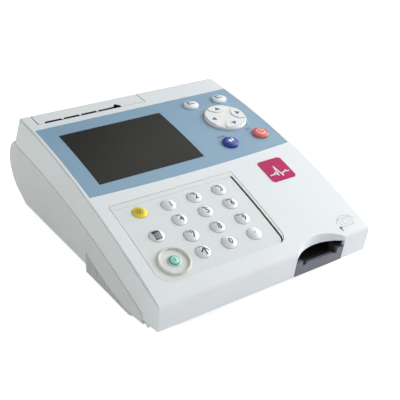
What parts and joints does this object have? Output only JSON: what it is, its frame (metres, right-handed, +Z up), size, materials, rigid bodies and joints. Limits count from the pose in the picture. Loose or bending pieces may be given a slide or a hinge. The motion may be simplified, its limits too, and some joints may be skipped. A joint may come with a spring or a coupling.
{
  "type": "cardiac marker reader",
  "caption": "Bench-top cardiac marker reader: a sloped case with a display window, keypad, rocker pad, strip printer and a front port for test cassettes.",
  "frame": {"origin": "middle of the footprint, on the table", "axes": "+X to the user's right, +Y from the user to the rear, +Z up"},
  "size_m": [0.168, 0.2194, 0.0784],
  "materials": {
    "shell": "fine matte",
    "shell_low": "fine matte",
    "panel_blue": "satin",
    "screen": "gloss",
    "display_frame": "satin",
    "keypad": "satin",
    "key_white": "satin",
    "key_yellow": "satin",
    "key_green": "satin",
    "key_blue": "satin",
    "key_red": "satin",
    "board": "satin",
    "switch": "satin",
    "steel": "satin",
    "dark_plastic": "fine matte",
    "black_plastic": "fine matte",
    "acetal": "satin",
    "rubber": "matte",
    "paper": "matte",
    "cell": "satin",
    "motor": "satin",
    "label": "satin"
  },
  "bodies": {
    "case": {"base_plinth": "shell_low", "batteries": "cell", "battery_contacts": "steel", "bottom_case": "shell_low", "carriage_motor": "motor", "case_screws": "steel", "cassette_guide": "black_plastic", "chip_socket": "dark_plastic", "connector_bay": "shell_low", "control_board": "board", "corner_label": "label", "cover_hinge_pin": "steel", "dc_jack": "black_plastic", "display_fascia": "panel_blue", "display_lens": "screen", "feed_motor": "motor", "key_switches": "switch", "keypad_board": "board", "keypad_panel": "keypad", "lcd_module": "display_frame", "main_board": "board", "nav_post": "acetal", "optics_block": "black_plastic", "port_tray": "dark_plastic", "print_head": "black_plastic", "printer_frame": "steel", "roll_spindle": "acetal", "rubber_feet": "rubber", "serial_port": "steel", "top_cover": "shell"},
    "key_1": {"key_1": "key_white"},
    "key_2": {"key_2": "key_white"},
    "key_3": {"key_3": "key_white"},
    "key_4": {"key_4": "key_white"},
    "key_5": {"key_5": "key_white"},
    "key_6": {"key_6": "key_white"},
    "key_7": {"key_7": "key_white"},
    "key_8": {"key_8": "key_white"},
    "key_9": {"key_9": "key_white"},
    "key_shift": {"key_shift": "key_white"},
    "key_0": {"key_0": "key_white"},
    "key_point": {"key_point": "key_white"},
    "key_light": {"key_light": "key_yellow"},
    "key_print": {"key_print": "key_white"},
    "key_power": {"key_power": "key_green"},
    "soft_key_left": {"soft_key_left": "key_white"},
    "soft_key_right": {"soft_key_right": "key_white"},
    "key_enter": {"key_enter": "key_blue"},
    "key_exit": {"key_exit": "key_red"},
    "rocker_ball": {"nav_ball": "steel"},
    "rocker_pad": {"nav_pad": "key_white"},
    "paper_door": {"printer_cover": "shell"},
    "platen": {"platen_roller": "rubber", "platen_gear": "acetal"},
    "pinion": {"motor_pinion": "acetal"},
    "roll": {"paper_roll": "paper"},
    "cell_door": {"battery_door": "shell_low"},
    "chip": {"code_chip": "black_plastic"},
    "carriage": {"cassette_carriage": "black_plastic"},
    "screw": {"lead_screw": "steel"}
  },
  "joints": [
    {"name": "key_1_press", "type": "slide", "parent": "case", "child": "key_1", "axis": [0, 0.3101, -0.9507], "range_m": [0, 0.0007], "stiffness_N_per_m": 300, "springref_m": -0.001},
    {"name": "key_2_press", "type": "slide", "parent": "case", "child": "key_2", "axis": [0, 0.3101, -0.9507], "range_m": [0, 0.0007], "stiffness_N_per_m": 300, "springref_m": -0.001},
    {"name": "key_3_press", "type": "slide", "parent": "case", "child": "key_3", "axis": [0, 0.3101, -0.9507], "range_m": [0, 0.0007], "stiffness_N_per_m": 300, "springref_m": -0.001},
    {"name": "key_4_press", "type": "slide", "parent": "case", "child": "key_4", "axis": [0, 0.3321, -0.9432], "range_m": [0, 0.0007], "stiffness_N_per_m": 300, "springref_m": -0.001},
    {"name": "key_5_press", "type": "slide", "parent": "case", "child": "key_5", "axis": [0, 0.3321, -0.9432], "range_m": [0, 0.0007], "stiffness_N_per_m": 300, "springref_m": -0.001},
    {"name": "key_6_press", "type": "slide", "parent": "case", "child": "key_6", "axis": [0, 0.3321, -0.9432], "range_m": [0, 0.0007], "stiffness_N_per_m": 300, "springref_m": -0.001},
    {"name": "key_7_press", "type": "slide", "parent": "case", "child": "key_7", "axis": [0, 0.3546, -0.935], "range_m": [0, 0.0007], "stiffness_N_per_m": 300, "springref_m": -0.001},
    {"name": "key_8_press", "type": "slide", "parent": "case", "child": "key_8", "axis": [0, 0.3546, -0.935], "range_m": [0, 0.0007], "stiffness_N_per_m": 300, "springref_m": -0.001},
    {"name": "key_9_press", "type": "slide", "parent": "case", "child": "key_9", "axis": [0, 0.3546, -0.935], "range_m": [0, 0.0007], "stiffness_N_per_m": 300, "springref_m": -0.001},
    {"name": "key_shift_press", "type": "slide", "parent": "case", "child": "key_shift", "axis": [0, 0.3761, -0.9266], "range_m": [0, 0.0007], "stiffness_N_per_m": 300, "springref_m": -0.001},
    {"name": "key_0_press", "type": "slide", "parent": "case", "child": "key_0", "axis": [0, 0.3761, -0.9266], "range_m": [0, 0.0007], "stiffness_N_per_m": 300, "springref_m": -0.001},
    {"name": "key_point_press", "type": "slide", "parent": "case", "child": "key_point", "axis": [0, 0.3761, -0.9266], "range_m": [0, 0.0007], "stiffness_N_per_m": 300, "springref_m": -0.001},
    {"name": "key_light_press", "type": "slide", "parent": "case", "child": "key_light", "axis": [0, 0.3086, -0.9512], "range_m": [0, 0.0007], "stiffness_N_per_m": 300, "springref_m": -0.001},
    {"name": "key_print_press", "type": "slide", "parent": "case", "child": "key_print", "axis": [0, 0.3424, -0.9395], "range_m": [0, 0.0007], "stiffness_N_per_m": 300, "springref_m": -0.001},
    {"name": "key_power_press", "type": "slide", "parent": "case", "child": "key_power", "axis": [0, 0.3755, -0.9268], "range_m": [0, 0.0007], "stiffness_N_per_m": 300, "springref_m": -0.001},
    {"name": "soft_key_left_press", "type": "slide", "parent": "case", "child": "soft_key_left", "axis": [0, 0.1575, -0.9875], "range_m": [0, 0.0007], "stiffness_N_per_m": 300, "springref_m": -0.001},
    {"name": "soft_key_right_press", "type": "slide", "parent": "case", "child": "soft_key_right", "axis": [0, 0.158, -0.9874], "range_m": [0, 0.0007], "stiffness_N_per_m": 300, "springref_m": -0.001},
    {"name": "key_enter_press", "type": "slide", "parent": "case", "child": "key_enter", "axis": [0, 0.247, -0.969], "range_m": [0, 0.0007], "stiffness_N_per_m": 300, "springref_m": -0.001},
    {"name": "key_exit_press", "type": "slide", "parent": "case", "child": "key_exit", "axis": [0, 0.2445, -0.9697], "range_m": [0, 0.0007], "stiffness_N_per_m": 300, "springref_m": -0.001},
    {"name": "rocker_tip_fore_aft", "type": "hinge", "parent": "case", "child": "rocker_ball", "pos_m": [0.0548, 0.02018, 0.06396], "axis": [1, 0, 0], "range_deg": [-2.5, 2.5], "stiffness_Nm_per_rad": 0.3},
    {"name": "rocker_tip_sideways", "type": "hinge", "parent": "rocker_ball", "child": "rocker_pad", "pos_m": [0.0548, 0.02018, 0.06396], "axis": [0, 0.9797, 0.2003], "range_deg": [-2.5, 2.5], "stiffness_Nm_per_rad": 0.3},
    {"name": "paper_door_hinge", "type": "hinge", "parent": "case", "child": "paper_door", "pos_m": [-0.03165, 0.0899, 0.0576], "axis": [-1, 0, 0], "range_deg": [0, 90]},
    {"name": "platen_spin", "type": "hinge", "parent": "case", "child": "platen", "pos_m": [-0.03925, 0.0713, 0.066], "axis": [1, 0, 0], "continuous": true},
    {"name": "pinion_spin", "type": "hinge", "parent": "case", "child": "pinion", "pos_m": [-0.0056, 0.0713, 0.0575], "axis": [1, 0, 0], "continuous": true},
    {"name": "roll_spin", "type": "hinge", "parent": "case", "child": "roll", "pos_m": [-0.03925, 0.086, 0.0335], "axis": [1, 0, 0], "continuous": true},
    {"name": "cell_door_slide", "type": "slide", "parent": "case", "child": "cell_door", "axis": [0, 1, 0], "range_m": [0, 0.05]},
    {"name": "chip_slide", "type": "slide", "parent": "case", "child": "chip", "axis": [0, -1, 0], "range_m": [0, 0.012]},
    {"name": "carriage_slide", "type": "slide", "parent": "case", "child": "carriage", "axis": [0, 1, 0], "range_m": [0, 0.018]},
    {"name": "screw_spin", "type": "hinge", "parent": "case", "child": "screw", "pos_m": [0.0407, -0.0597, 0.0094], "axis": [0, 1, 0], "range_deg": [0, 3245]}
  ],
  "couplings": [
    {"joint": "pinion_spin", "follows": "platen_spin", "ratio": -2.4},
    {"joint": "roll_spin", "follows": "platen_spin", "ratio": 0.26316},
    {"joint": "screw_spin", "follows": "carriage_slide", "rad_per_m": 3141.6}
  ]
}
